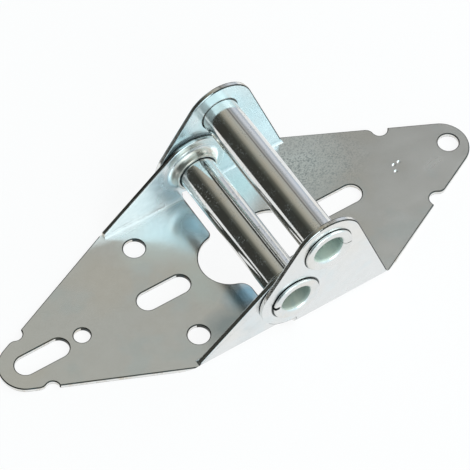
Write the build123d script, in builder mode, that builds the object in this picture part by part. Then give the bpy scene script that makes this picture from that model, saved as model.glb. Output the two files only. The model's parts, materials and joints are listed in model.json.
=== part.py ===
from build123d import *
from math import asin, atan2, copysign, hypot, tan
import os

# Double tube hinge for a sectional garage door, lying open and flat on the backs of its leaves.
# The origin is the middle of the pivot tube's axis. +X runs along the hinge to the end of the
# carrier leaf, +Y along both tubes, and +Z from the backs of the leaves up to the tubes.

# Sheet metal of both leaves
sheet = 1.9
bend_inside = 1.4
back_depth = 18.4

# Tubes, each rolled from strip with a butt seam
tube_radius = 7.3
tube_wall = 1.5
tube_seat_gap = 0.02
tube_seat_round = 0.5
running_gap = 0.08
roller_x = 13.1
roller_z = 20.2
seam_width = 0.25

# Flange that is rolled over at each end of a tube
flange_radius = 9.6
flange_thickness = 1.4
flange_edge_round = 0.7
flange_back_round = 0.45
flange_land = 1.2
split_width = 1.1
pivot_seam_angle = 174
roller_seam_angle = 356

# Carrier leaf: the wide leaf, whose ears carry both tubes
carrier_width = 72.6
carrier_ear_radius = 14.1
carrier_fold_start = 0.6
carrier_corner = 41.2
carrier_end_centre = 90.8
carrier_end_radius = 10.9
carrier_bite_depth = 24.8
carrier_slot_centre = 42.9
carrier_hole_x = 94.2
carrier_hole_radius = 4.0
carrier_notch_x = 75.7
carrier_notch_out = -0.3
carrier_notch_radius = 3.1

# Swing leaf: the narrow leaf, whose ears turn on the pivot tube inside the carrier's ears
side_play = 0.35
swing_ear_radius = 14.0
swing_fold_start = 4.6
swing_corner = 39.6
swing_corner_rise = 1.5
swing_corner_run = 1.2
swing_end_centre = 90.6
swing_end_radius = 10.5
swing_bite_depth = 11.45
swing_notch_x = 87.8
swing_notch_out = 0.7
swing_notch_radius = 2.75
swing_end_slot = 84.3
swing_middle_slot = 33.0
swing_small_hole = 67.6
swing_small_radius = 3.1
swing_hole_x = 31.9
swing_hole_spacing = 44.6
swing_hole_radius = 4.1

# Collar drawn inwards round each pivot hole of the swing leaf
collar_height = 3.3
collar_wall = 1.35
collar_root = 2.7
collar_tip_round = 0.45
collar_mouth_round = 1.2

# Slots and the rounded bite in each leaf's inner edge
slot_spacing = 13.3
slot_radius = 4.15
bite_radius = 11.65
rear_lobe_round = 2.4
front_lobe_round = 5.0
notch_blend = 3.2

# Three plain punch dimples on the carrier leaf
dimple_radius = 0.75
dimple_depth = 0.35
dimple_places = [(70.6, 2.2), (73.0, 2.4), (69.6, -0.6)]

# Spare length of the cutters and of the blanks that they cut
spare = 1

# Sizes that follow
back = -back_depth
top = back + sheet
bend_outside = bend_inside + sheet
carrier_half = carrier_width / 2
swing_half = carrier_half - sheet - side_play
ear_height = roller_z + carrier_ear_radius + back_depth + spare
tube_end = carrier_half + flange_thickness
bore_radius = tube_radius - tube_wall
mouth_flare = flange_radius - flange_edge_round - flange_land - bore_radius
collar_bore = tube_radius + running_gap
collar_outer = collar_bore + collar_wall
swing_inner = swing_half - sheet
carrier_reach = carrier_end_centre + carrier_end_radius + spare
swing_reach = swing_end_centre + swing_end_radius + spare
dimple_ball = (dimple_radius**2 + dimple_depth**2) / (2 * dimple_depth)


def folded_channel(half_width, reach):
    """A leaf's U section along X, with the plate below and an ear at each side."""
    with BuildSketch(Plane.YZ) as outside:
        with Locations((0, back)):
            Rectangle(2 * half_width, ear_height, align=(Align.CENTER, Align.MIN))
        fillet(outside.vertices().group_by(Axis.Y)[0], bend_outside)
    extrude(outside.sketch, amount=reach, both=True)
    with BuildSketch(Plane.YZ) as inside:
        with Locations((0, top)):
            Rectangle(2 * (half_width - sheet), ear_height, align=(Align.CENTER, Align.MIN))
        fillet(inside.vertices().group_by(Axis.Y)[0], bend_inside)
    extrude(inside.sketch, amount=reach, both=True, mode=Mode.SUBTRACT)


def edge_y(x, corner, half_width, end_centre, end_radius):
    """How far a plate's sloping edge is from its middle line, at the distance x from the pivot."""
    run = end_centre - corner
    slope = atan2(half_width, run) - asin(end_radius / hypot(run, half_width))
    return half_width - (x - corner) * tan(slope)


def notch_corners(plan, x, y, radius):
    """The corners where an edge notch leaves the plate's outline."""
    return [v for v in plan.vertices() if abs(hypot(v.X - x, v.Y - y) - radius) < 0.01]


def bite(inner_edge, bottom, front_round):
    """The space past a leaf's inner edge, with the round ended bite that reaches into the leaf."""
    open_side = inner_edge - (bottom - inner_edge)
    centre = bottom - copysign(bite_radius, bottom)
    with BuildSketch(Plane.XY.offset(back)) as space:
        with Locations(((inner_edge + open_side) / 2, 0)):
            Rectangle(abs(open_side - inner_edge), carrier_width)
        with Locations(((centre + open_side) / 2, 0)):
            Rectangle(abs(open_side - centre), 2 * bite_radius)
        with Locations((centre, 0)):
            Circle(bite_radius)
        for side, lobe_round in ((1, rear_lobe_round), (-1, front_round)):
            mouth = [v for v in space.vertices() if abs(v.X - inner_edge) < 0.01]
            fillet([v for v in mouth if 0 < v.Y * side < bite_radius + 0.01], lobe_round)
    extrude(space.sketch, amount=sheet, mode=Mode.SUBTRACT)


def tube(axis_x, axis_z, seam_angle):
    """A rolled tube along Y with a butt seam, its ends rolled over the carrier's ears."""
    with BuildSketch(Plane((axis_x, 0, axis_z))) as wall:
        with BuildLine():
            Line((bore_radius, 0), (bore_radius, tube_end - mouth_flare))
            RadiusArc(
                (bore_radius, tube_end - mouth_flare),
                (bore_radius + mouth_flare, tube_end),
                mouth_flare,
            )
            Line((bore_radius + mouth_flare, tube_end), (flange_radius, tube_end))
            Line((flange_radius, tube_end), (flange_radius, carrier_half))
            Line((flange_radius, carrier_half), (tube_radius, carrier_half))
            Line((tube_radius, carrier_half), (tube_radius, 0))
            Line((tube_radius, 0), (bore_radius, 0))
        make_face()
        rim = [v for v in wall.vertices() if abs(v.X - flange_radius) < 0.01]
        fillet([max(rim, key=lambda v: v.Y)], flange_edge_round)
        lip = [v for v in wall.vertices() if abs(v.X - flange_radius) < 0.01]
        fillet([min(lip, key=lambda v: v.Y)], flange_back_round)
    revolve(wall.sketch, axis=Axis((axis_x, 0, axis_z), (0, 1, 0)))
    mirror(about=Plane.XZ)
    with BuildSketch(Plane((axis_x, 0, axis_z), x_dir=(1, 0, 0), z_dir=(0, -1, 0))) as seam:
        Rectangle(
            flange_radius + spare,
            seam_width,
            rotation=seam_angle,
            align=(Align.MIN, Align.CENTER),
        )
    extrude(seam.sketch, amount=tube_end, both=True, mode=Mode.SUBTRACT)


carrier_notch_y = carrier_notch_out + edge_y(
    carrier_notch_x, carrier_corner, carrier_half, carrier_end_centre, carrier_end_radius
)
swing_notch_y = swing_notch_out + edge_y(
    swing_notch_x, swing_corner, swing_half, swing_end_centre, swing_end_radius
)

# Carrier leaf: seen from the side, a hull of two circles stands on the plate
with BuildSketch(Plane.XZ) as carrier_arm:
    Circle(carrier_ear_radius)
    with Locations((roller_x, roller_z)):
        Circle(carrier_ear_radius)
    make_hull()

with BuildSketch(Plane.XZ) as carrier_side:
    Circle(carrier_ear_radius)
    with Locations((roller_x, roller_z)):
        Circle(carrier_ear_radius)
    with Locations((0, back)):
        Rectangle(carrier_corner, sheet, align=(Align.MIN, Align.MIN))
    make_hull()
    with Locations((carrier_fold_start, back)):
        Rectangle(carrier_reach, ear_height, align=(Align.MIN, Align.MIN), mode=Mode.INTERSECT)
        Rectangle(carrier_reach, sheet, align=(Align.MIN, Align.MIN))
    add(carrier_arm)

with BuildSketch(Plane.XY) as carrier_plan:
    with Locations((carrier_end_centre, 0)):
        Circle(carrier_end_radius)
    with Locations((carrier_corner, 0)):
        Rectangle(2 * carrier_corner, carrier_width, align=(Align.MAX, Align.CENTER))
    make_hull()
    with Locations((carrier_notch_x, carrier_notch_y), (carrier_notch_x, -carrier_notch_y)):
        Circle(carrier_notch_radius, mode=Mode.SUBTRACT)
    rear = notch_corners(carrier_plan, carrier_notch_x, carrier_notch_y, carrier_notch_radius)
    front = notch_corners(carrier_plan, carrier_notch_x, -carrier_notch_y, carrier_notch_radius)
    fillet([min(rear, key=lambda v: v.X), max(front, key=lambda v: v.X)], notch_blend)

with BuildPart() as carrier_leaf:
    folded_channel(carrier_half, carrier_reach)
    extrude(carrier_side.sketch, amount=carrier_width, both=True, mode=Mode.INTERSECT)
    extrude(carrier_plan.sketch, amount=ear_height, both=True, mode=Mode.INTERSECT)
    bite(carrier_fold_start, carrier_fold_start + carrier_bite_depth, rear_lobe_round)
    with BuildSketch(Plane.XY.offset(back)):
        with Locations((carrier_slot_centre, 0)):
            SlotCenterToCenter(slot_spacing, 2 * slot_radius)
        with Locations((carrier_hole_x, 0)):
            Circle(carrier_hole_radius)
    extrude(amount=sheet, mode=Mode.SUBTRACT)
    with BuildSketch(Plane.XZ):
        with Locations((0, 0), (roller_x, roller_z)):
            Circle(tube_radius + tube_seat_gap)
    extrude(amount=carrier_width, both=True, mode=Mode.SUBTRACT)
    seats = carrier_leaf.edges().filter_by(GeomType.CIRCLE)
    seats = [e for e in seats if abs(e.radius - tube_radius - tube_seat_gap) < 0.01]
    fillet([e for e in seats if abs(abs(e.center().Y) - carrier_half + sheet) < 0.01], tube_seat_round)
    with Locations([(x, y, top + dimple_ball - dimple_depth) for x, y in dimple_places]):
        Sphere(dimple_ball, mode=Mode.SUBTRACT)
carrier_leaf.part.label = "carrier_leaf"

# Swing leaf: seen from the side, each ear rises from the plate's corner to a round end
with BuildSketch(Plane.XZ) as swing_side:
    Circle(swing_ear_radius)
    Polygon(
        (-swing_corner, back),
        (0, back),
        (swing_corner_run - swing_corner, top + swing_corner_rise),
        align=None,
    )
    make_hull()
    with Locations((-swing_fold_start, back)):
        Rectangle(swing_reach, ear_height, align=(Align.MAX, Align.MIN), mode=Mode.INTERSECT)
        Rectangle(swing_reach, sheet, align=(Align.MAX, Align.MIN))
    Circle(swing_ear_radius)

with BuildSketch(Plane.XY) as swing_plan:
    with Locations((-swing_end_centre, 0)):
        Circle(swing_end_radius)
    with Locations((-swing_corner, 0)):
        Rectangle(2 * swing_corner, 2 * swing_half, align=(Align.MIN, Align.CENTER))
    make_hull()
    with Locations((-swing_notch_x, swing_notch_y), (-swing_notch_x, -swing_notch_y)):
        Circle(swing_notch_radius, mode=Mode.SUBTRACT)
    rear = notch_corners(swing_plan, -swing_notch_x, swing_notch_y, swing_notch_radius)
    front = notch_corners(swing_plan, -swing_notch_x, -swing_notch_y, swing_notch_radius)
    fillet([min(rear, key=lambda v: v.X), min(front, key=lambda v: v.X)], notch_blend)

with BuildPart() as swing_leaf:
    folded_channel(swing_half, swing_reach)
    extrude(swing_side.sketch, amount=carrier_width, both=True, mode=Mode.INTERSECT)
    extrude(swing_plan.sketch, amount=ear_height, both=True, mode=Mode.INTERSECT)
    bite(-swing_fold_start, -swing_fold_start - swing_bite_depth, front_lobe_round)
    with BuildSketch(Plane.XY.offset(back)):
        with Locations((-swing_end_slot, 0), (-swing_middle_slot, 0)):
            SlotCenterToCenter(slot_spacing, 2 * slot_radius)
        with Locations((-swing_small_hole, 0)):
            Circle(swing_small_radius)
        with Locations((-swing_hole_x, swing_hole_spacing / 2), (-swing_hole_x, -swing_hole_spacing / 2)):
            Circle(swing_hole_radius)
    extrude(amount=sheet, mode=Mode.SUBTRACT)
    with BuildSketch(Plane.XY) as collar:
        with BuildLine():
            Line((collar_bore, swing_inner), (collar_bore, swing_inner - collar_height))
            Line((collar_bore, swing_inner - collar_height), (collar_outer, swing_inner - collar_height))
            Line((collar_outer, swing_inner - collar_height), (collar_outer, swing_inner - collar_root))
            RadiusArc(
                (collar_outer, swing_inner - collar_root),
                (collar_outer + collar_root, swing_inner),
                collar_root,
            )
            Line((collar_outer + collar_root, swing_inner), (collar_outer + collar_root, swing_half - sheet / 2))
            Line((collar_outer + collar_root, swing_half - sheet / 2), (collar_bore, swing_half - sheet / 2))
            Line((collar_bore, swing_half - sheet / 2), (collar_bore, swing_inner))
        make_face()
        tip = [v for v in collar.vertices() if abs(v.Y - swing_inner + collar_height) < 0.01]
        fillet(tip, collar_tip_round)
        mirror(about=Plane.XZ)
    revolve(axis=Axis.Y)
    with BuildSketch(Plane.XZ):
        Circle(collar_bore)
    extrude(amount=carrier_width, both=True, mode=Mode.SUBTRACT)
    mouths = swing_leaf.edges().filter_by(GeomType.CIRCLE)
    mouths = [e for e in mouths if abs(e.radius - collar_bore) < 0.01]
    fillet([e for e in mouths if abs(abs(e.center().Y) - swing_half) < 0.01], collar_mouth_round)
swing_leaf.part.label = "swing_leaf"

# Roller tube: the sleeve that a track roller's stem slides into
with BuildPart() as roller_tube:
    tube(roller_x, roller_z, roller_seam_angle)
roller_tube.part.label = "roller_tube"

# Pivot tube: the hinge pin, with the seam sprung open where its ends are rolled over
with BuildPart() as pivot_tube:
    tube(0, 0, pivot_seam_angle)
    for y in (-carrier_half, tube_end):
        with BuildSketch(Plane.XZ.offset(-y)):
            Polygon(
                (tube_radius, -seam_width / 2),
                (flange_radius + spare, -split_width / 2),
                (flange_radius + spare, split_width / 2),
                (tube_radius, seam_width / 2),
                align=None,
                rotation=pivot_seam_angle,
            )
        extrude(amount=flange_thickness, mode=Mode.SUBTRACT)
pivot_tube.part.label = "pivot_tube"

os.makedirs("parts", exist_ok=True)
export_step(carrier_leaf.part, "parts/carrier_leaf.step")
export_step(swing_leaf.part, "parts/swing_leaf.step")
export_step(roller_tube.part, "parts/roller_tube.step")
export_step(pivot_tube.part, "parts/pivot_tube.step")
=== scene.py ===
import bmesh
import bpy
import json
import math
from mathutils import Matrix, Vector


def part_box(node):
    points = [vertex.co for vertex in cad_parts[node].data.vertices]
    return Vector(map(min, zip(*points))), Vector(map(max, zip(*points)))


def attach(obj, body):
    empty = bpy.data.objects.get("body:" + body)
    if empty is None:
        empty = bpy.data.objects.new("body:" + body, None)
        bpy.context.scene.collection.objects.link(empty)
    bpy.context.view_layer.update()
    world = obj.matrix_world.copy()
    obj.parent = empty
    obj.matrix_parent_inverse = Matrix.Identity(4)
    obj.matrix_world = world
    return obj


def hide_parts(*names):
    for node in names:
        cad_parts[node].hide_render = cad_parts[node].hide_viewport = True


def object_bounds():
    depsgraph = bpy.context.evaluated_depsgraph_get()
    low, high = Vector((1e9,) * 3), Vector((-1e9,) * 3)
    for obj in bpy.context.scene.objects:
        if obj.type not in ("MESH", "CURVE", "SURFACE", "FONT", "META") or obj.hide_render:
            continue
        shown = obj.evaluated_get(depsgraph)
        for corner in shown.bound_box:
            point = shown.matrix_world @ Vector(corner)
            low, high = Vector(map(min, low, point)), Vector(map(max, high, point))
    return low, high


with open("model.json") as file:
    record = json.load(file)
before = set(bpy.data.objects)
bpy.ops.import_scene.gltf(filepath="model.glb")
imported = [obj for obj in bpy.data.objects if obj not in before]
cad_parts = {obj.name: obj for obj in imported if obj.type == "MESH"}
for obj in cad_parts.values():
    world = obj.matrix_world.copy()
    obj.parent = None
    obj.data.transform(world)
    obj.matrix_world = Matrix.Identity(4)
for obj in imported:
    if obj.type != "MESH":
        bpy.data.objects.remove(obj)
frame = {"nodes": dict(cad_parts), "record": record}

# Double tube garage door hinge in bright zinc plate, lying open on a white floor.
# Everything is in metres about the middle of the pivot tube; mm turns plain sizes into metres.
mm = 0.001
nodes = frame["nodes"]
mounts = {mount["name"]: mount for mount in frame["record"]["mounts"]}
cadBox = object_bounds()
print("frame loaded:", sorted(nodes))


# Small helpers for node trees
def addNode(tree, kind, **settings):
    node = tree.nodes.new(kind)
    for key, value in settings.items():
        setattr(node, key, value)
    return node


def join(tree, source, target):
    tree.links.new(source, target)


def feed(tree, value, socket):
    # sets a socket to a number, a colour or a vector, or links another node's output to it
    if isinstance(value, (int, float)):
        socket.default_value = value
    elif isinstance(value, (tuple, list)):
        socket.default_value = (*value, 1.0) if socket.type == "RGBA" else value
    else:
        join(tree, value, socket)


def mathNode(tree, operation, *values):
    node = addNode(tree, "ShaderNodeMath", operation=operation)
    for socket, value in zip(node.inputs, values):
        feed(tree, value, socket)
    return node.outputs[0]


def spread(tree, value, low, high, newLow=0.0, newHigh=1.0):
    # maps a value's range low..high to newLow..newHigh, held at both ends
    node = addNode(tree, "ShaderNodeMapRange", clamp=True)
    join(tree, value, node.inputs["Value"])
    for name, number in zip(("From Min", "From Max", "To Min", "To Max"), (low, high, newLow, newHigh)):
        node.inputs[name].default_value = number
    return node.outputs[0]


def mixColour(tree, factor, first, second):
    node = addNode(tree, "ShaderNodeMix", data_type="RGBA")
    for socket, value in zip((node.inputs[0], node.inputs[6], node.inputs[7]), (factor, first, second)):
        feed(tree, value, socket)
    return node.outputs[2]


def addNoise(tree, where, scale, detail, roughness=0.5):
    node = addNode(tree, "ShaderNodeTexNoise")
    for name, value in (("Vector", where), ("Scale", scale), ("Detail", detail), ("Roughness", roughness)):
        feed(tree, value, node.inputs[name])
    return node.outputs["Fac"]


def objectPoint(tree):
    # the point being shaded, in the hinge's own frame
    return addNode(tree, "ShaderNodeTexCoord").outputs["Object"]


def objectParts(tree):
    parts = addNode(tree, "ShaderNodeSeparateXYZ")
    join(tree, objectPoint(tree), parts.inputs[0])
    return parts.outputs


def newGroup(name, inputs, outputs):
    # a shader node group with named sockets; returns the tree and its two end nodes
    tree = bpy.data.node_groups.new(name, "ShaderNodeTree")
    for socketName, kind, value in inputs:
        socket = tree.interface.new_socket(name=socketName, in_out="INPUT", socket_type=kind)
        socket.default_value = value
    for socketName, kind in outputs:
        tree.interface.new_socket(name=socketName, in_out="OUTPUT", socket_type=kind)
    return tree, tree.nodes.new("NodeGroupInput"), tree.nodes.new("NodeGroupOutput")


def placeGroup(tree, group, values):
    node = addNode(tree, "ShaderNodeGroup", node_tree=group)
    for name, value in values.items():
        feed(tree, value, node.inputs[name])
    return node


def emptyMaterial(name):
    material = bpy.data.materials.new(name)
    material.use_nodes = True
    material.node_tree.nodes.clear()
    return material, material.node_tree


def addObject(name, data):
    item = bpy.data.objects.new(name, data)
    bpy.context.scene.collection.objects.link(item)
    return item


# Camera, at the place and angle of the photograph
cameraView = {
    "place": (-302.56 * mm, -453.11 * mm, 781.92 * mm),
    "azimuth": math.radians(-33.54),
    "elevation": math.radians(55.32),
    "roll": math.radians(0.915),
    "lens": 201.0,
    "sensor": 36.0,
    "clip": (0.05, 50.0),
}


def setCamera(view):
    azimuth, elevation, roll = view["azimuth"], view["elevation"], view["roll"]
    back = Vector((
        math.sin(azimuth) * math.cos(elevation),
        -math.cos(azimuth) * math.cos(elevation),
        math.sin(elevation),
    ))
    level = Vector((math.cos(azimuth), math.sin(azimuth), 0.0))
    upright = back.cross(level)
    right = math.cos(roll) * level + math.sin(roll) * upright
    up = back.cross(right)
    data = bpy.data.cameras.new("photoCamera")
    data.lens = view["lens"]
    data.sensor_width = view["sensor"]
    data.clip_start, data.clip_end = view["clip"]
    camera = addObject("photoCamera", data)
    turn = Matrix((right, up, back)).transposed().to_4x4()
    camera.matrix_world = Matrix.Translation(view["place"]) @ turn
    bpy.context.scene.camera = camera


setCamera(cameraView)
bpy.context.scene.view_settings.view_transform = "Standard"
print("camera set")

# Surroundings: long soft strips over the hinge, along the tubes, that the bright plating mirrors.
# Each strip is (degrees about the tubes from straight up, colour), from the left round to the right.
# An edge is the two values, along one axis of the direction looked in, between which light changes.
studio = {
    "backStrips": [
        (-180, (0.60, 0.62, 0.60)),
        (-118, (0.42, 0.43, 0.41)),
        (-98, (0.045, 0.047, 0.040)),
        (-52, (0.040, 0.042, 0.036)),
        (-38, (0.070, 0.075, 0.062)),
        (-26, (0.125, 0.125, 0.105)),
        (-13, (0.34, 0.33, 0.275)),
        (0, (0.47, 0.45, 0.385)),
        (14, (0.48, 0.475, 0.425)),
        (18, (0.50, 0.50, 0.46)),
        (24, (0.46, 0.465, 0.435)),
        (29, (0.07, 0.065, 0.060)),
        (34, (0.45, 0.44, 0.43)),
        (46, (0.35, 0.37, 0.39)),
        (60, (0.70, 0.73, 0.79)),
        (88, (0.76, 0.80, 0.88)),
        (110, (0.95, 1.02, 1.08)),
        (180, (0.95, 1.00, 1.04)),
    ],
    "frontLight": (0.88, 1.08, 1.14),
    "backHorizon": (0.13, 0.22, 0.30),
    "frontEdge": (0.12, -0.16),
    "horizonEdge": (0.30, 0.05),
    "behindEdge": (0.3, 0.8),
}


def studioWorld(values):
    world = bpy.data.worlds.new("studio")
    bpy.context.scene.world = world
    world.use_nodes = True
    tree = world.node_tree
    tree.nodes.clear()
    where = addNode(tree, "ShaderNodeTexCoord")
    parts = addNode(tree, "ShaderNodeSeparateXYZ")
    join(tree, where.outputs["Generated"], parts.inputs[0])
    angle = mathNode(tree, "ARCTAN2", parts.outputs["X"], parts.outputs["Z"])
    turn = spread(tree, angle, -math.pi, math.pi)
    ramp = addNode(tree, "ShaderNodeValToRGB")
    elements = ramp.color_ramp.elements
    while len(elements) > 1:
        elements.remove(elements[0])
    for index, (degrees, colour) in enumerate(values["backStrips"]):
        position = (degrees + 180) / 360
        stop = elements[0] if index == 0 else elements.new(position)
        stop.position = position
        stop.color = (*colour, 1.0)
    join(tree, turn, ramp.inputs[0])
    # low down behind the hinge it gets darker and bluer, and in front everything is bright
    low = spread(tree, parts.outputs["Z"], *values["horizonEdge"])
    behind = spread(tree, parts.outputs["Y"], *values["behindEdge"])
    dim = mathNode(tree, "MULTIPLY", low, behind)
    colour = mixColour(tree, dim, ramp.outputs[0], values["backHorizon"])
    front = spread(tree, parts.outputs["Y"], *values["frontEdge"])
    colour = mixColour(tree, front, colour, values["frontLight"])
    light = addNode(tree, "ShaderNodeBackground")
    join(tree, colour, light.inputs["Color"])
    white = addNode(tree, "ShaderNodeBackground")
    white.inputs["Color"].default_value = (1.0, 1.0, 1.0, 1.0)
    path = addNode(tree, "ShaderNodeLightPath")
    mix = addNode(tree, "ShaderNodeMixShader")
    join(tree, path.outputs["Is Camera Ray"], mix.inputs[0])
    join(tree, light.outputs[0], mix.inputs[1])
    join(tree, white.outputs[0], mix.inputs[2])
    output = addNode(tree, "ShaderNodeOutputWorld")
    join(tree, mix.outputs[0], output.inputs["Surface"])


studioWorld(studio)

# Floor: plain white, with the hinge's faint shadow kept
floorPlan = {"half": 3.0, "white": 0.92, "shadowShare": 0.12}


def makeFloor(values):
    low, high = cadBox
    mesh = bpy.data.meshes.new("floor")
    half = values["half"]
    corners = [(-half, -half), (half, -half), (half, half), (-half, half)]
    mesh.from_pydata([(x, y, low.z) for x, y in corners], [], [(0, 1, 2, 3)])
    floor = addObject("floor", mesh)
    material, tree = emptyMaterial("floorWhite")
    paint = addNode(tree, "ShaderNodeBsdfDiffuse")
    paint.inputs["Color"].default_value = (values["white"], values["white"], values["white"], 1.0)
    glow = addNode(tree, "ShaderNodeEmission")
    glow.inputs["Color"].default_value = (1.0, 1.0, 1.0, 1.0)
    path = addNode(tree, "ShaderNodeLightPath")
    seen = mathNode(tree, "MAXIMUM", path.outputs["Is Camera Ray"], path.outputs["Is Glossy Ray"])
    seen = mathNode(tree, "MAXIMUM", seen, path.outputs["Is Transmission Ray"])
    share = mathNode(tree, "MULTIPLY", seen, 1.0 - values["shadowShare"])
    mix = addNode(tree, "ShaderNodeMixShader")
    join(tree, share, mix.inputs[0])
    join(tree, paint.outputs[0], mix.inputs[1])
    join(tree, glow.outputs[0], mix.inputs[2])
    output = addNode(tree, "ShaderNodeOutputMaterial")
    join(tree, mix.outputs[0], output.inputs["Surface"])
    mesh.materials.append(material)


makeFloor(floorPlan)

# A dark card stands left of the hinge, where only the plating sees it
cardPlan = {
    "x": -205 * mm,
    "front": -160 * mm,
    "rear": 480 * mm,
    "height": 260 * mm,
    "colour": (0.045, 0.04635, 0.0405),
}


def makeCard(values):
    low, high = cadBox
    mesh = bpy.data.meshes.new("darkCard")
    x, front, rear = values["x"], values["front"], values["rear"]
    top = low.z + values["height"]
    corners = [(x, front, low.z), (x, rear, low.z), (x, rear, top), (x, front, top)]
    mesh.from_pydata(corners, [], [(0, 1, 2, 3)])
    card = addObject("darkCard", mesh)
    card.visible_camera = False
    card.visible_diffuse = False
    card.visible_shadow = False
    material, tree = emptyMaterial("cardGrey")
    glow = addNode(tree, "ShaderNodeEmission")
    glow.inputs["Color"].default_value = (*values["colour"], 1.0)
    output = addNode(tree, "ShaderNodeOutputMaterial")
    join(tree, glow.outputs[0], output.inputs["Surface"])
    mesh.materials.append(material)


makeCard(cardPlan)

# Lamps: large soft panels at a plain level
lampPlan = {
    "rightPanel": {"place": (0.9, -0.1, 0.8), "size": 0.9, "watts": 5.0},
    "frontPanel": {"place": (-0.2, -1.1, 0.7), "size": 0.8, "watts": 4.0},
}


def makeLamp(name, values):
    data = bpy.data.lights.new(name, "AREA")
    data.shape = "SQUARE"
    data.size = values["size"]
    data.energy = values["watts"]
    lamp = addObject(name, data)
    lamp.location = values["place"]
    lamp.rotation_mode = "QUATERNION"
    lamp.rotation_quaternion = (-Vector(values["place"])).to_track_quat("-Z", "Y")


for lampName, lampValues in lampPlan.items():
    makeLamp(lampName, lampValues)
print("floor, surroundings and lamps made")

# Shared effects, each a node group that more than one finish uses.
# An input called a size is in millimetres, and an edge is the two values that a mask changes between.
tintPattern = {
    "wideDetail": 3.0,
    "wideRoughness": 0.55,
    "smallDetail": 4.0,
    "smallPerWide": 2.7,
    "warmEdge": (0.50, 0.66),
    "coolEdge": (0.52, 0.66),
}


def makeTintGroup(values):
    # large soft patches of the passivate film's tints over the plain plating colour
    tree, start, end = newGroup(
        "filmTint",
        [
            ("Base", "NodeSocketColor", (0.7, 0.7, 0.7, 1.0)),
            ("Warm", "NodeSocketColor", (0.7, 0.68, 0.64, 1.0)),
            ("Cool", "NodeSocketColor", (0.64, 0.7, 0.72, 1.0)),
            ("Patch Size", "NodeSocketFloat", 30.0),
            ("Amount", "NodeSocketFloat", 0.5),
        ],
        [("Color", "NodeSocketColor"), ("Patch", "NodeSocketFloat")],
    )
    where = objectPoint(tree)
    scale = mathNode(tree, "DIVIDE", 1 / mm, start.outputs["Patch Size"])
    smallScale = mathNode(tree, "MULTIPLY", scale, values["smallPerWide"])
    wide = addNoise(tree, where, scale, values["wideDetail"], values["wideRoughness"])
    small = addNoise(tree, where, smallScale, values["smallDetail"])
    amount = start.outputs["Amount"]
    warmMask = mathNode(tree, "MULTIPLY", spread(tree, wide, *values["warmEdge"]), amount)
    coolMask = mathNode(tree, "MULTIPLY", spread(tree, small, *values["coolEdge"]), amount)
    colour = mixColour(tree, warmMask, start.outputs["Base"], start.outputs["Warm"])
    colour = mixColour(tree, coolMask, colour, start.outputs["Cool"])
    join(tree, colour, end.inputs["Color"])
    join(tree, wide, end.inputs["Patch"])
    return tree


grainPattern = {
    "fineDetail": 5.0,
    "fineRoughness": 0.6,
    "broadDetail": 2.0,
    "broadPerFine": 0.16,
    "edge": (0.12, 0.40),
}


def makeGrainGroup(values):
    # fine grain of the plating, finer than a millimetre, as a value and a height
    tree, start, end = newGroup(
        "platingGrain",
        [
            ("Grain Size", "NodeSocketFloat", 0.6),
            ("Stretch", "NodeSocketVector", (1.0, 1.0, 1.0)),
        ],
        [("Grain", "NodeSocketFloat"), ("Height", "NodeSocketFloat")],
    )
    stretch = addNode(tree, "ShaderNodeVectorMath", operation="MULTIPLY")
    join(tree, objectPoint(tree), stretch.inputs[0])
    join(tree, start.outputs["Stretch"], stretch.inputs[1])
    where = stretch.outputs[0]
    scale = mathNode(tree, "DIVIDE", 1 / mm, start.outputs["Grain Size"])
    broadScale = mathNode(tree, "MULTIPLY", scale, values["broadPerFine"])
    fine = addNoise(tree, where, scale, values["fineDetail"], values["fineRoughness"])
    broad = addNoise(tree, where, broadScale, values["broadDetail"])
    both = mathNode(tree, "MULTIPLY", fine, broad)
    join(tree, spread(tree, both, *values["edge"]), end.inputs["Grain"])
    join(tree, fine, end.inputs["Height"])
    return tree


seatPattern = {"edge": (0.6, 1.2)}  # shares of the ring's width


def makeSeatGroup(values):
    # a soft ring round a tube where it meets a leaf, as a mask about an axis along Y, for painted shade or
    # reflection
    tree, start, end = newGroup(
        "seatLine",
        [
            ("Axis X", "NodeSocketFloat", 0.0),
            ("Axis Z", "NodeSocketFloat", 0.0),
            ("Radius", "NodeSocketFloat", 0.0073),
            ("Width", "NodeSocketFloat", 0.0006),
        ],
        [("Mask", "NodeSocketFloat")],
    )
    parts = objectParts(tree)
    across = mathNode(tree, "SUBTRACT", parts["X"], start.outputs["Axis X"])
    above = mathNode(tree, "SUBTRACT", parts["Z"], start.outputs["Axis Z"])
    across = mathNode(tree, "MULTIPLY", across, across)
    above = mathNode(tree, "MULTIPLY", above, above)
    distance = mathNode(tree, "SQRT", mathNode(tree, "ADD", across, above))
    off = mathNode(tree, "ABSOLUTE", mathNode(tree, "SUBTRACT", distance, start.outputs["Radius"]))
    share = mathNode(tree, "DIVIDE", off, start.outputs["Width"])
    join(tree, spread(tree, share, *values["edge"], 1.0, 0.0), end.inputs["Mask"])
    return tree


speckPattern = {
    "speckDetail": 2.0,
    "speckEdge": (0.56, 0.66),
    "clusterDetail": 1.0,
    "clusterEdge": (0.42, 0.62),
}


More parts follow.
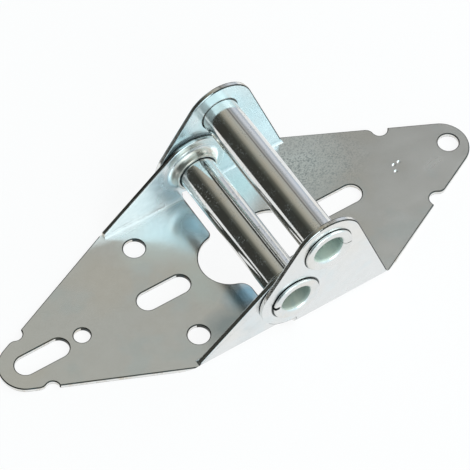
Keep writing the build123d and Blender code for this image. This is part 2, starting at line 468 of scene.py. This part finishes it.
def makeSpeckGroup(values):
    # small dark specks and pits, gathered in loose clusters
    tree, start, end = newGroup(
        "smallSpecks",
        [
            ("Speck Size", "NodeSocketFloat", 0.8),
            ("Cluster Size", "NodeSocketFloat", 9.0),
            ("Cover", "NodeSocketFloat", 0.5),
        ],
        [("Mask", "NodeSocketFloat")],
    )
    where = objectPoint(tree)
    speckScale = mathNode(tree, "DIVIDE", 1 / mm, start.outputs["Speck Size"])
    clusterScale = mathNode(tree, "DIVIDE", 1 / mm, start.outputs["Cluster Size"])
    speck = addNoise(tree, where, speckScale, values["speckDetail"])
    cluster = addNoise(tree, where, clusterScale, values["clusterDetail"])
    near = spread(tree, cluster, *values["clusterEdge"])
    dots = spread(tree, speck, *values["speckEdge"])
    mask = mathNode(tree, "MULTIPLY", near, dots)
    join(tree, mathNode(tree, "MULTIPLY", mask, start.outputs["Cover"]), end.inputs["Mask"])
    return tree


reflectionZonePattern = {"raggedSize": 7.0 * mm, "raggedDetail": 4.0, "raggedShare": 0.5, "edge": (0.25, 1.0)}


def makeReflectionZoneGroup(values):
    # a soft oval patch of painted reflection with an uneven edge, as a mask about an upright axis
    tree, start, end = newGroup(
        "paintedReflectionZone",
        [
            ("Centre X", "NodeSocketFloat", 0.0),
            ("Centre Y", "NodeSocketFloat", 0.0),
            ("Reach X", "NodeSocketFloat", 0.01),
            ("Reach Y", "NodeSocketFloat", 0.01),
        ],
        [("Mask", "NodeSocketFloat")],
    )
    parts = objectParts(tree)
    squares = []
    for axis in ("X", "Y"):
        off = mathNode(tree, "SUBTRACT", parts[axis], start.outputs["Centre " + axis])
        share = mathNode(tree, "DIVIDE", off, start.outputs["Reach " + axis])
        squares.append(mathNode(tree, "MULTIPLY", share, share))
    distance = mathNode(tree, "SQRT", mathNode(tree, "ADD", *squares))
    ragged = addNoise(tree, objectPoint(tree), 1 / values["raggedSize"], values["raggedDetail"])
    uneven = mathNode(tree, "MULTIPLY", mathNode(tree, "SUBTRACT", ragged, 0.5), values["raggedShare"])
    distance = mathNode(tree, "ADD", distance, uneven)
    join(tree, spread(tree, distance, *values["edge"], 1.0, 0.0), end.inputs["Mask"])
    return tree


tintGroup = makeTintGroup(tintPattern)
grainGroup = makeGrainGroup(grainPattern)
seatGroup = makeSeatGroup(seatPattern)
speckGroup = makeSpeckGroup(speckPattern)
reflectionZoneGroup = makeReflectionZoneGroup(reflectionZonePattern)


# Steps that the finishes share
def startMaterial(name):
    material = bpy.data.materials.new(name)
    material.use_nodes = True
    tree = material.node_tree
    return material, tree, tree.nodes["Principled BSDF"]


def tintedBase(tree, values):
    tint = placeGroup(tree, tintGroup, {
        "Base": values["plain"],
        "Warm": values["warm"],
        "Cool": values["cool"],
        "Patch Size": values["patchSize"],
        "Amount": values["amount"],
    })
    return tint.outputs["Color"], tint.outputs["Patch"]


def patchyRoughness(tree, patch, values):
    # the roughness where the film is thin and where it is thick
    return spread(tree, patch, *values["patchEdge"], *values["roughness"])


def setBump(tree, shader, height, values):
    bump = addNode(tree, "ShaderNodeBump")
    bump.inputs["Strength"].default_value = values["bump"]
    bump.inputs["Distance"].default_value = values["bumpHeight"]
    join(tree, height, bump.inputs["Height"])
    join(tree, bump.outputs["Normal"], shader.inputs["Normal"])


# Where the tubes run, and the painted shade in the gaps round them
def tubeAxis(name):
    x, y, z = mounts[name]["pos_m"]
    return x, z


tubeAxes = {"pivot": tubeAxis("pivot_bore"), "roller": tubeAxis("roller_bore")}
seatShade = (0.035, 0.045, 0.045)
frontEdge = (-35 * mm, -36 * mm)  # along Y, from inside the front ear to its outer face

# A zone is a patch of painted reflection, the tone the plating mirrors there: its middle and reach in
# millimetres along X and Y, its tint, how far it covers the plain plating, how metallic it stays and how
# much grain shows in it. A seat is a ring about a tube, of painted shade in a gap or of painted reflection
# on the swing's collar: its radius, width, side, tint, cover and how much duller it is.
sheetFinish = {
    "plain": (0.79, 0.805, 0.805),
    "amount": 0.75,
    "patchEdge": (0.35, 0.65),
    "grainShare": 0.08,
    "grainColour": (0.36, 0.36, 0.33),
    "speckleEdge": (0.46, 0.62),
    "speckleColour": (0.33, 0.39, 0.42),
    "bumpHeight": 0.05 * mm,
}
carrierFinish = dict(sheetFinish, **{
    "name": "carrierZinc",
    "warm": (0.80, 0.785, 0.745),
    "cool": (0.745, 0.80, 0.815),
    "patchSize": 34.0,
    "grainSize": 0.65,
    "roughness": (0.28, 0.19),
    "bump": 0.015,
    "seats": [
        # painted shade where the tubes meet the ears, and round the front flanges
        ("pivot", 7.55 * mm, 0.26 * mm, "both", seatShade, 1.0, 0.0),
        ("roller", 7.55 * mm, 0.26 * mm, "both", seatShade, 1.0, 0.0),
        ("pivot", 9.65 * mm, 0.62 * mm, "front", seatShade, 1.0, 0.0),
        ("roller", 9.60 * mm, 0.40 * mm, "front", seatShade, 1.0, 0.0),
    ],
    "reflectionZones": [
        ((50, 19), (19, 18), (0.83, 0.85, 0.84), 0.75, 1.0, 0.80),
        ((39, 21), (22, 19), (0.90, 0.99, 1.00), 0.90, 1.0, 0.80),
        ((31, 9), (9, 12), (0.78, 0.86, 0.90), 0.70, 1.0, 0.50),
        ((17, 25), (10, 9), (0.64, 0.775, 0.77), 0.85, 1.0, 0.10),
        ((10, 35.4), (21, 3.5), (0.77, 0.91, 0.93), 0.95, 0.55, 0.0),
        ((-5, 35.4), (9, 3.5), (0.50, 0.67, 0.72), 0.85, 0.8, 0.0),
    ],
})
swingFinish = dict(sheetFinish, **{
    "name": "swingZinc",
    "warm": (0.80, 0.78, 0.74),
    "cool": (0.74, 0.80, 0.82),
    "patchSize": 40.0,
    "grainSize": 0.8,
    "roughness": (0.26, 0.17),
    "bump": 0.012,
    "seats": [
        # painted reflection bands on the collar, then painted shade where the tube meets it
        ("pivot", 11.2 * mm, 1.7 * mm, "both", (0.66, 0.70, 0.70), 0.55, 0.10),
        ("pivot", 8.9 * mm, 1.1 * mm, "both", (0.50, 0.455, 0.37), 0.70, 0.12),
        ("pivot", 7.45 * mm, 0.42 * mm, "both", seatShade, 1.0, 0.0),
    ],
    "reflectionZones": [
        ((-22, 20), (20, 14), (0.85, 0.95, 0.965), 0.90, 1.0, 0.05),
        ((-8, 20), (8, 12), (0.52, 0.78, 0.90), 0.90, 0.62, 0.10),
        ((-9, -17), (10, 8), (0.34, 0.60, 0.78), 0.95, 1.0, 0.10),
        ((-20, -25), (15, 10), (0.41, 0.485, 0.515), 0.85, 1.0, 0.05),
        ((-20, -4), (8, 14), (0.76, 0.86, 0.86), 0.60, 1.0, 0.05),
        ((-6, 33), (8, 4), (0.70, 0.82, 0.86), 0.90, 0.9, 0.0),
        ((-31, 34), (25, 5.5), (0.97, 0.99, 0.98), 1.00, 0.08, 0.0),
    ],
})


def makeSheetMaterial(values):
    # satin zinc plate on cold rolled sheet
    material, tree, shader = startMaterial(values["name"])
    colour, patch = tintedBase(tree, values)
    grain = placeGroup(tree, grainGroup, {"Grain Size": values["grainSize"]})
    dark = mathNode(tree, "MULTIPLY", grain.outputs["Grain"], values["grainShare"])
    colour = mixColour(tree, dark, colour, values["grainColour"])
    grains = spread(tree, grain.outputs["Height"], *values["speckleEdge"])
    metal = 1.0
    # the zones paint the tones that the plating mirrors into its colour, and make it less metallic there
    for middle, reach, tint, cover, metallic, grainShare in values["reflectionZones"]:
        zone = placeGroup(tree, reflectionZoneGroup, {
            "Centre X": middle[0] * mm,
            "Centre Y": middle[1] * mm,
            "Reach X": reach[0] * mm,
            "Reach Y": reach[1] * mm,
        })
        mask = mathNode(tree, "MULTIPLY", zone.outputs["Mask"], cover)
        colour = mixColour(tree, mask, colour, tint)
        speckle = mathNode(tree, "MULTIPLY", mathNode(tree, "MULTIPLY", mask, grainShare), grains)
        colour = mixColour(tree, speckle, colour, values["speckleColour"])
        metal = mathNode(tree, "MINIMUM", metal, spread(tree, mask, 0.0, 1.0, 1.0, metallic))
    frontSide = spread(tree, objectParts(tree)["Y"], *frontEdge)
    duller = 0.0
    # the seats paint shade, and on the swing's collar reflections, as rings about the tubes
    for tube, radius, width, side, tint, cover, dulling in values["seats"]:
        axisX, axisZ = tubeAxes[tube]
        ring = {"Axis X": axisX, "Axis Z": axisZ, "Radius": radius, "Width": width}
        seat = placeGroup(tree, seatGroup, ring)
        mask = mathNode(tree, "MULTIPLY", seat.outputs["Mask"], cover)
        if side == "front":
            mask = mathNode(tree, "MULTIPLY", mask, frontSide)
        colour = mixColour(tree, mask, colour, tint)
        duller = mathNode(tree, "MULTIPLY_ADD", mask, dulling, duller)
    join(tree, colour, shader.inputs["Base Color"])
    join(tree, metal, shader.inputs["Metallic"])
    rough = patchyRoughness(tree, patch, values)
    join(tree, mathNode(tree, "ADD", rough, duller), shader.inputs["Roughness"])
    setBump(tree, shader, grain.outputs["Height"], values)
    return material


# Punched edges. The back of the swing leaf's rear ear gets painted shade for the gap behind it, from
# rearEdge along Y and from highEdge up.
edgeFinish = {
    "plain": (0.80, 0.80, 0.78),
    "cool": (0.76, 0.80, 0.80),
    "patchSize": 4.0,
    "amount": 0.8,
    "patchEdge": (0.3, 0.7),
    "specks": {"Speck Size": 0.8, "Cluster Size": 6.0, "Cover": 0.55},
    "speckColour": (0.22, 0.19, 0.15),
    "rearEdge": (33.1 * mm, 33.5 * mm),
    "highEdge": (-9 * mm, -2 * mm),
    "gapShade": (0.03, 0.03, 0.028),
    "roughness": (0.12, 0.28),
}
carrierEdgeFinish = dict(edgeFinish, name="carrierEdgeZinc", warm=(0.50, 0.45, 0.37), gapShare=0.0)
swingEdgeFinish = dict(edgeFinish, name="swingEdgeZinc", warm=(0.62, 0.57, 0.48), gapShare=0.93)


def makeEdgeMaterial(values):
    # where the shear leaves a streaked face
    material, tree, shader = startMaterial(values["name"])
    colour, patch = tintedBase(tree, values)
    specks = placeGroup(tree, speckGroup, values["specks"])
    colour = mixColour(tree, specks.outputs["Mask"], colour, values["speckColour"])
    parts = objectParts(tree)
    # painted shade where the swing's rear ear faces the gap behind it, as strong as gapShare
    rear = spread(tree, parts["Y"], *values["rearEdge"])
    high = spread(tree, parts["Z"], *values["highEdge"])
    shade = mathNode(tree, "MULTIPLY", mathNode(tree, "MULTIPLY", rear, high), values["gapShare"])
    colour = mixColour(tree, shade, colour, values["gapShade"])
    join(tree, colour, shader.inputs["Base Color"])
    shader.inputs["Metallic"].default_value = 1.0
    join(tree, patchyRoughness(tree, patch, values), shader.inputs["Roughness"])
    return material


rimShadeFinish = {
    "plain": (0.05, 0.054, 0.05),
    "warm": (0.062, 0.05, 0.034),
    "cool": (0.04, 0.056, 0.06),
    "patchSize": 6.0,
    "amount": 0.9,
    "patchEdge": (0.3, 0.7),
    "roughness": (0.2, 0.4),
}


def makeRimShadeMaterial(values):
    # the rolled over corner of a punched edge, near black with painted shade that draws a dark line along
    # it
    material, tree, shader = startMaterial("paintedShadeRim")
    colour, patch = tintedBase(tree, values)
    join(tree, colour, shader.inputs["Base Color"])
    shader.inputs["Metallic"].default_value = 1.0
    join(tree, patchyRoughness(tree, patch, values), shader.inputs["Roughness"])
    return material


# A seam is a dark split across the front flange: its angle about the tube, from +X towards +Z,
# and half its width. Specks stay off the flanges, from bodyEdge along Y, which are duller than
# the body from flangeEdge on.
tubeFinish = {
    "plain": (0.80, 0.81, 0.80),
    "warm": (0.79, 0.76, 0.71),
    "cool": (0.75, 0.79, 0.81),
    "patchSize": 12.0,
    "amount": 0.6,
    "drawLines": {"Grain Size": 0.9, "Stretch": (1.0, 0.10, 1.0)},
    "lineShare": 0.18,
    "lineColour": (0.45, 0.42, 0.37),
    "specks": {"Speck Size": 0.6, "Cluster Size": 7.0},
    "speckColour": (0.36, 0.34, 0.29),
    "speckMetallic": 0.45,
    "bodyEdge": (33 * mm, 35 * mm),
    "flangeEdge": (35.2 * mm, 36.2 * mm),
    "flangeDull": 0.20,
    "roughness": (0.06, 0.15),
    "bump": 0.05,
    "bumpHeight": 0.05 * mm,
    "seamFrom": (7.5 * mm, 7.6 * mm),
    "seamSoft": 0.7,
}
rollerTubeFinish = dict(tubeFinish, **{
    "name": "rollerTubeZinc",
    "axis": tubeAxes["roller"],
    "speckCover": 0.45,
    "seamAngle": math.radians(356),
    "seamHalf": 0.22 * mm,
})
pivotTubeFinish = dict(tubeFinish, **{
    "name": "pivotTubeZinc",
    "axis": tubeAxes["pivot"],
    "speckCover": 0.70,
    "seamAngle": math.radians(174),
    "seamHalf": 0.85 * mm,
})


def seamMask(tree, parts, values):
    across = mathNode(tree, "SUBTRACT", parts["X"], values["axis"][0])
    above = mathNode(tree, "SUBTRACT", parts["Z"], values["axis"][1])
    cosine, sine = math.cos(values["seamAngle"]), math.sin(values["seamAngle"])
    out = mathNode(tree, "MULTIPLY_ADD", above, sine, mathNode(tree, "MULTIPLY", across, cosine))
    aside = mathNode(tree, "MULTIPLY_ADD", above, cosine, mathNode(tree, "MULTIPLY", across, -sine))
    half = values["seamHalf"]
    beyond = spread(tree, out, *values["seamFrom"])
    narrow = spread(tree, mathNode(tree, "ABSOLUTE", aside), half * values["seamSoft"], half, 1.0, 0.0)
    front = spread(tree, parts["Y"], *frontEdge)
    return mathNode(tree, "MULTIPLY", mathNode(tree, "MULTIPLY", beyond, narrow), front)


def makeTubeMaterial(values):
    # near mirror zinc on rolled tube, with faint draw lines along it and small dark specks
    material, tree, shader = startMaterial(values["name"])
    colour, patch = tintedBase(tree, values)
    parts = objectParts(tree)
    along = mathNode(tree, "ABSOLUTE", parts["Y"])
    lines = placeGroup(tree, grainGroup, values["drawLines"])
    specks = placeGroup(tree, speckGroup, dict(values["specks"], Cover=values["speckCover"]))
    body = spread(tree, along, *values["bodyEdge"], 1.0, 0.0)
    pitted = mathNode(tree, "MULTIPLY", specks.outputs["Mask"], body)
    colour = mixColour(tree, pitted, colour, values["speckColour"])
    streak = mathNode(tree, "MULTIPLY", lines.outputs["Grain"], values["lineShare"])
    colour = mixColour(tree, streak, colour, values["lineColour"])
    colour = mixColour(tree, seamMask(tree, parts, values), colour, seatShade)
    join(tree, colour, shader.inputs["Base Color"])
    join(tree, spread(tree, pitted, 0.0, 1.0, 1.0, values["speckMetallic"]), shader.inputs["Metallic"])
    rough = spread(tree, lines.outputs["Grain"], 0.0, 1.0, *values["roughness"])
    dull = spread(tree, along, *values["flangeEdge"], 0.0, values["flangeDull"])
    join(tree, mathNode(tree, "ADD", rough, dull), shader.inputs["Roughness"])
    setBump(tree, shader, lines.outputs["Height"], values)
    return material


# Inside a tube painted shade darkens it to the right of its axis, from shadeEdge along X
boreFinish = {
    "patchSize": 9.0,
    "amount": 0.8,
    "patchEdge": (0.3, 0.7),
    "roughness": (0.35, 0.55),
    "metallic": 0.25,
    "shade": (0.20, 0.27, 0.25),
    "shadeEdge": (2.0 * mm, 5.6 * mm),
    "shadeShare": 0.75,
}
rollerBoreFinish = dict(boreFinish, **{
    "name": "rollerBoreFilm",
    "axis": tubeAxes["roller"],
    "plain": (0.67, 0.75, 0.66),
    "warm": (0.60, 0.65, 0.56),
    "cool": (0.58, 0.66, 0.61),
})
pivotBoreFinish = dict(boreFinish, **{
    "name": "pivotBoreFilm",
    "axis": tubeAxes["pivot"],
    "plain": (0.60, 0.63, 0.55),
    "warm": (0.53, 0.56, 0.48),
    "cool": (0.51, 0.58, 0.53),
})


def makeBoreMaterial(values):
    # the dull film inside a tube, where the plating bath left it thin and greenish
    material, tree, shader = startMaterial(values["name"])
    colour, patch = tintedBase(tree, values)
    across = mathNode(tree, "SUBTRACT", objectParts(tree)["X"], values["axis"][0])
    shade = mathNode(tree, "MULTIPLY", spread(tree, across, *values["shadeEdge"]), values["shadeShare"])
    colour = mixColour(tree, shade, colour, values["shade"])
    join(tree, colour, shader.inputs["Base Color"])
    shader.inputs["Metallic"].default_value = values["metallic"]
    join(tree, patchyRoughness(tree, patch, values), shader.inputs["Roughness"])
    return material


carrierZinc = makeSheetMaterial(carrierFinish)
swingZinc = makeSheetMaterial(swingFinish)
carrierEdgeZinc = makeEdgeMaterial(carrierEdgeFinish)
swingEdgeZinc = makeEdgeMaterial(swingEdgeFinish)
paintedShadeRim = makeRimShadeMaterial(rimShadeFinish)
rollerZinc = makeTubeMaterial(rollerTubeFinish)
pivotZinc = makeTubeMaterial(pivotTubeFinish)
rollerBore = makeBoreMaterial(rollerBoreFinish)
pivotBore = makeBoreMaterial(pivotBoreFinish)
print("finishes made")

# Pieces: each is the CAD solid's own form with its punched or rolled edges softened
softening = {
    "cornerAngle": math.radians(35),
    "weldDistance": 0.0005 * mm,
    "flatAngle": math.radians(0.2),
    "flatWeight": 90,
}


def isCorner(edge):
    return len(edge.link_faces) == 2 and edge.calc_face_angle() > softening["cornerAngle"]


def softenedCopy(name, look, clamped, staysSharp):
    # the faces of the rolled over corners are marked in the face layer "rim"
    mesh = nodes[look["node"]].data.copy()
    mesh.name = name
    shape = bmesh.new()
    shape.from_mesh(mesh)
    bmesh.ops.remove_doubles(shape, verts=shape.verts, dist=softening["weldDistance"])
    bmesh.ops.dissolve_limit(
        shape,
        angle_limit=softening["flatAngle"],
        verts=shape.verts,
        edges=shape.edges,
    )
    rim = shape.faces.layers.int.new("rim")
    rounded = bmesh.ops.bevel(
        shape,
        geom=[edge for edge in shape.edges if isCorner(edge) and not staysSharp(edge)],
        offset=look["edgeRound"],
        offset_type="OFFSET",
        segments=look["segments"],
        profile=0.5,
        affect="EDGES",
        clamp_overlap=clamped,
        loop_slide=True,
    )
    for face in shape.faces:
        face.smooth = True
    for face in rounded["faces"]:
        face[rim] = 1
    shape.to_mesh(mesh)
    shape.free()
    mesh.materials.clear()
    return addObject(name, mesh)


def finishShading(piece, sharpAngle):
    mesh = piece.data
    if mesh.has_custom_normals:
        bpy.context.view_layer.objects.active = piece
        with bpy.context.temp_override(object=piece, active_object=piece):
            bpy.ops.mesh.customdata_custom_splitnormals_clear()
    mesh.set_sharp_from_angle(angle=sharpAngle)
    weighted = piece.modifiers.new("flatFaces", "WEIGHTED_NORMAL")
    weighted.keep_sharp = True
    weighted.weight = softening["flatWeight"]


def finishPiece(piece, body, node):
    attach(piece, body)
    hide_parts(node)
    print(piece.name, "faces:", len(piece.data.polygons))


# Leaves. The corners in the bends, round the tubes and in the dimples stay as the solid has them.
# The punch's cut faces are told by their normals: under sideways across the sheet, or in a bend
# over endways along X. In darkHoles a wall takes painted shade where its normal is under holeWall along X.
leafLook = {
    "edgeRound": 0.38 * mm,
    "segments": 3,
    "sharpAngle": math.radians(30),
    "sheet": 1.9 * mm,
    "bend": 3.3 * mm,
    "skin": 0.1 * mm,
    "sideways": 0.6,
    "endways": 0.5,
    "slack": 0.02 * mm,
    "shortEdge": 4.0 * mm,
    "seatReach": 10.5 * mm,
    "dimples": (71.0 * mm, 1.3 * mm),
    "dimpleReach": 4.0 * mm,
    "holeWall": -0.35,
    "holeReach": 0.45 * mm,
}


def swingHoles():
    # the swing leaf's slots and holes from its mounts, each (x, y, half length, radius)
    holes = []
    slots = mounts["swing_slots"]
    radius = slots["dims"]["hole_r_mm"] * mm
    for side in (1, -1):
        x = slots["pos_m"][0] + side * slots["dims"]["spacing_x_mm"] * mm / 2
        holes.append((x, 0.0, slots["dims"]["slot_length_mm"] * mm / 2 - radius, radius))
    small = mounts["swing_small_hole"]
    holes.append((small["pos_m"][0], 0.0, 0.0, small["dims"]["r_mm"] * mm))
    fixing = mounts["swing_fixing_holes"]
    for side in (1, -1):
        y = side * fixing["dims"]["spacing_y_mm"] * mm / 2
        holes.append((fixing["pos_m"][0], y, 0.0, fixing["dims"]["hole_r_mm"] * mm))
    return holes


# brightRim is the normal along X below which a rim on an ear keeps the sheet's bright plating instead of
# painted shade
carrierLook = dict(leafLook, node="carrier_leaf", brightRim=-0.2, darkRear=0.0, darkHoles=[])
swingLook = dict(leafLook, node="swing_leaf", brightRim=0.3, darkRear=0.9 * mm, darkHoles=swingHoles())


def isCutFace(face, leaf):
    # true on the faces that the punch cut through the sheet's thickness
    y, z, normal = abs(face.center.y), face.center.z, face.normal
    if z > leaf["back"] + leaf["bend"]:
        onEar = leaf["half"] - leaf["sheet"] + leaf["skin"] < y < leaf["half"] - leaf["skin"]
        return onEar and abs(normal.y) < leaf["sideways"]
    if y < leaf["half"] - leaf["bend"]:
        onPlate = leaf["back"] + leaf["skin"] < z < leaf["back"] + leaf["sheet"] - leaf["skin"]
        return onPlate and abs(normal.z) < leaf["sideways"]
    return abs(normal.x) > leaf["endways"]


def keepsCorner(edge, leaf):
    # true for the short edges in a leaf's two bends, round the tubes and in the dimples
    short = edge.calc_length() < leaf["shortEdge"]
    dimplesX, dimplesY = leaf["dimples"]
    for point in (vertex.co for vertex in edge.verts):
        beside = abs(point.y) - (leaf["half"] - leaf["bend"])
        below = leaf["back"] + leaf["bend"] - point.z
        if short and min(beside, below) > leaf["slack"]:
            return True
        if any(math.hypot(point.x - x, point.z - z) < leaf["seatReach"] for x, z in tubeAxes.values()):
            return True
        if math.hypot(point.x - dimplesX, point.y - dimplesY) < leaf["dimpleReach"]:
            return True
    return False


def isDarkWall(face, leaf):
    # true on the right hand wall of one of a leaf's dark holes, which takes painted shade
    if face.normal.x >= leaf["holeWall"]:
        return False
    for x, y, halfLength, radius in leaf["darkHoles"]:
        beyond = max(abs(face.center.x - x) - halfLength, 0.0)
        if math.hypot(beyond, face.center.y - y) < radius + leaf["holeReach"]:
            return True
    return False


def isBrightRim(face, leaf):
    # true where a rim keeps the plating instead of painted shade: on the ears' left sides, apart from the
    # last darkRear of the rear ear's thickness
    onEar = face.center.z > leaf["back"] + leaf["bend"]
    behind = face.center.y > leaf["half"] - leaf["darkRear"]
    return onEar and face.normal.x < leaf["brightRim"] and not behind


def makeLeaf(name, body, look, sheetMaterial, edgeMaterial):
    low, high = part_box(look["node"])
    leaf = dict(look, back=low.z, half=high.y)
    piece = softenedCopy(name, leaf, False, lambda edge: keepsCorner(edge, leaf))
    finishShading(piece, leaf["sharpAngle"])
    mesh = piece.data
    for material in (sheetMaterial, edgeMaterial, paintedShadeRim):
        mesh.materials.append(material)
    plain, cutEdge, darkRim = range(3)
    rim = mesh.attributes["rim"].data
    for face in mesh.polygons:
        # a rim keeps the plating where isBrightRim holds, and elsewhere takes painted shade
        if rim[face.index].value:
            face.material_index = plain if isBrightRim(face, leaf) else darkRim
        elif not isCutFace(face, leaf):
            face.material_index = plain
        else:
            face.material_index = darkRim if isDarkWall(face, leaf) else cutEdge
    finishPiece(piece, body, leaf["node"])


# Tubes. The film covers what is nearer to the axis than boreRadius, as far as boreHalf along Y.
tubeLook = {
    "edgeRound": 0.08 * mm,
    "segments": 1,
    "sharpAngle": math.radians(40),
    "boreRadius": 6.2 * mm,
    "boreHalf": 37.6 * mm,
}
rollerLook = dict(tubeLook, node="roller_tube", axis=tubeAxes["roller"])
pivotLook = dict(tubeLook, node="pivot_tube", axis=tubeAxes["pivot"])


def makeTube(name, body, look, tubeMaterial, boreMaterial):
    piece = softenedCopy(name, look, True, lambda edge: False)
    finishShading(piece, look["sharpAngle"])
    mesh = piece.data
    mesh.materials.append(tubeMaterial)
    mesh.materials.append(boreMaterial)
    axisX, axisZ = look["axis"]
    for face in mesh.polygons:
        distance = math.hypot(face.center.x - axisX, face.center.z - axisZ)
        inside = distance < look["boreRadius"] and abs(face.center.y) < look["boreHalf"]
        face.material_index = 1 if inside else 0
    finishPiece(piece, body, look["node"])


makeLeaf("carrierLeaf", "carrier", carrierLook, carrierZinc, carrierEdgeZinc)
makeLeaf("swingLeaf", "swing", swingLook, swingZinc, swingEdgeZinc)
makeTube("rollerTube", "carrier", rollerLook, rollerZinc, rollerBore)
makeTube("pivotTube", "carrier", pivotLook, pivotZinc, pivotBore)
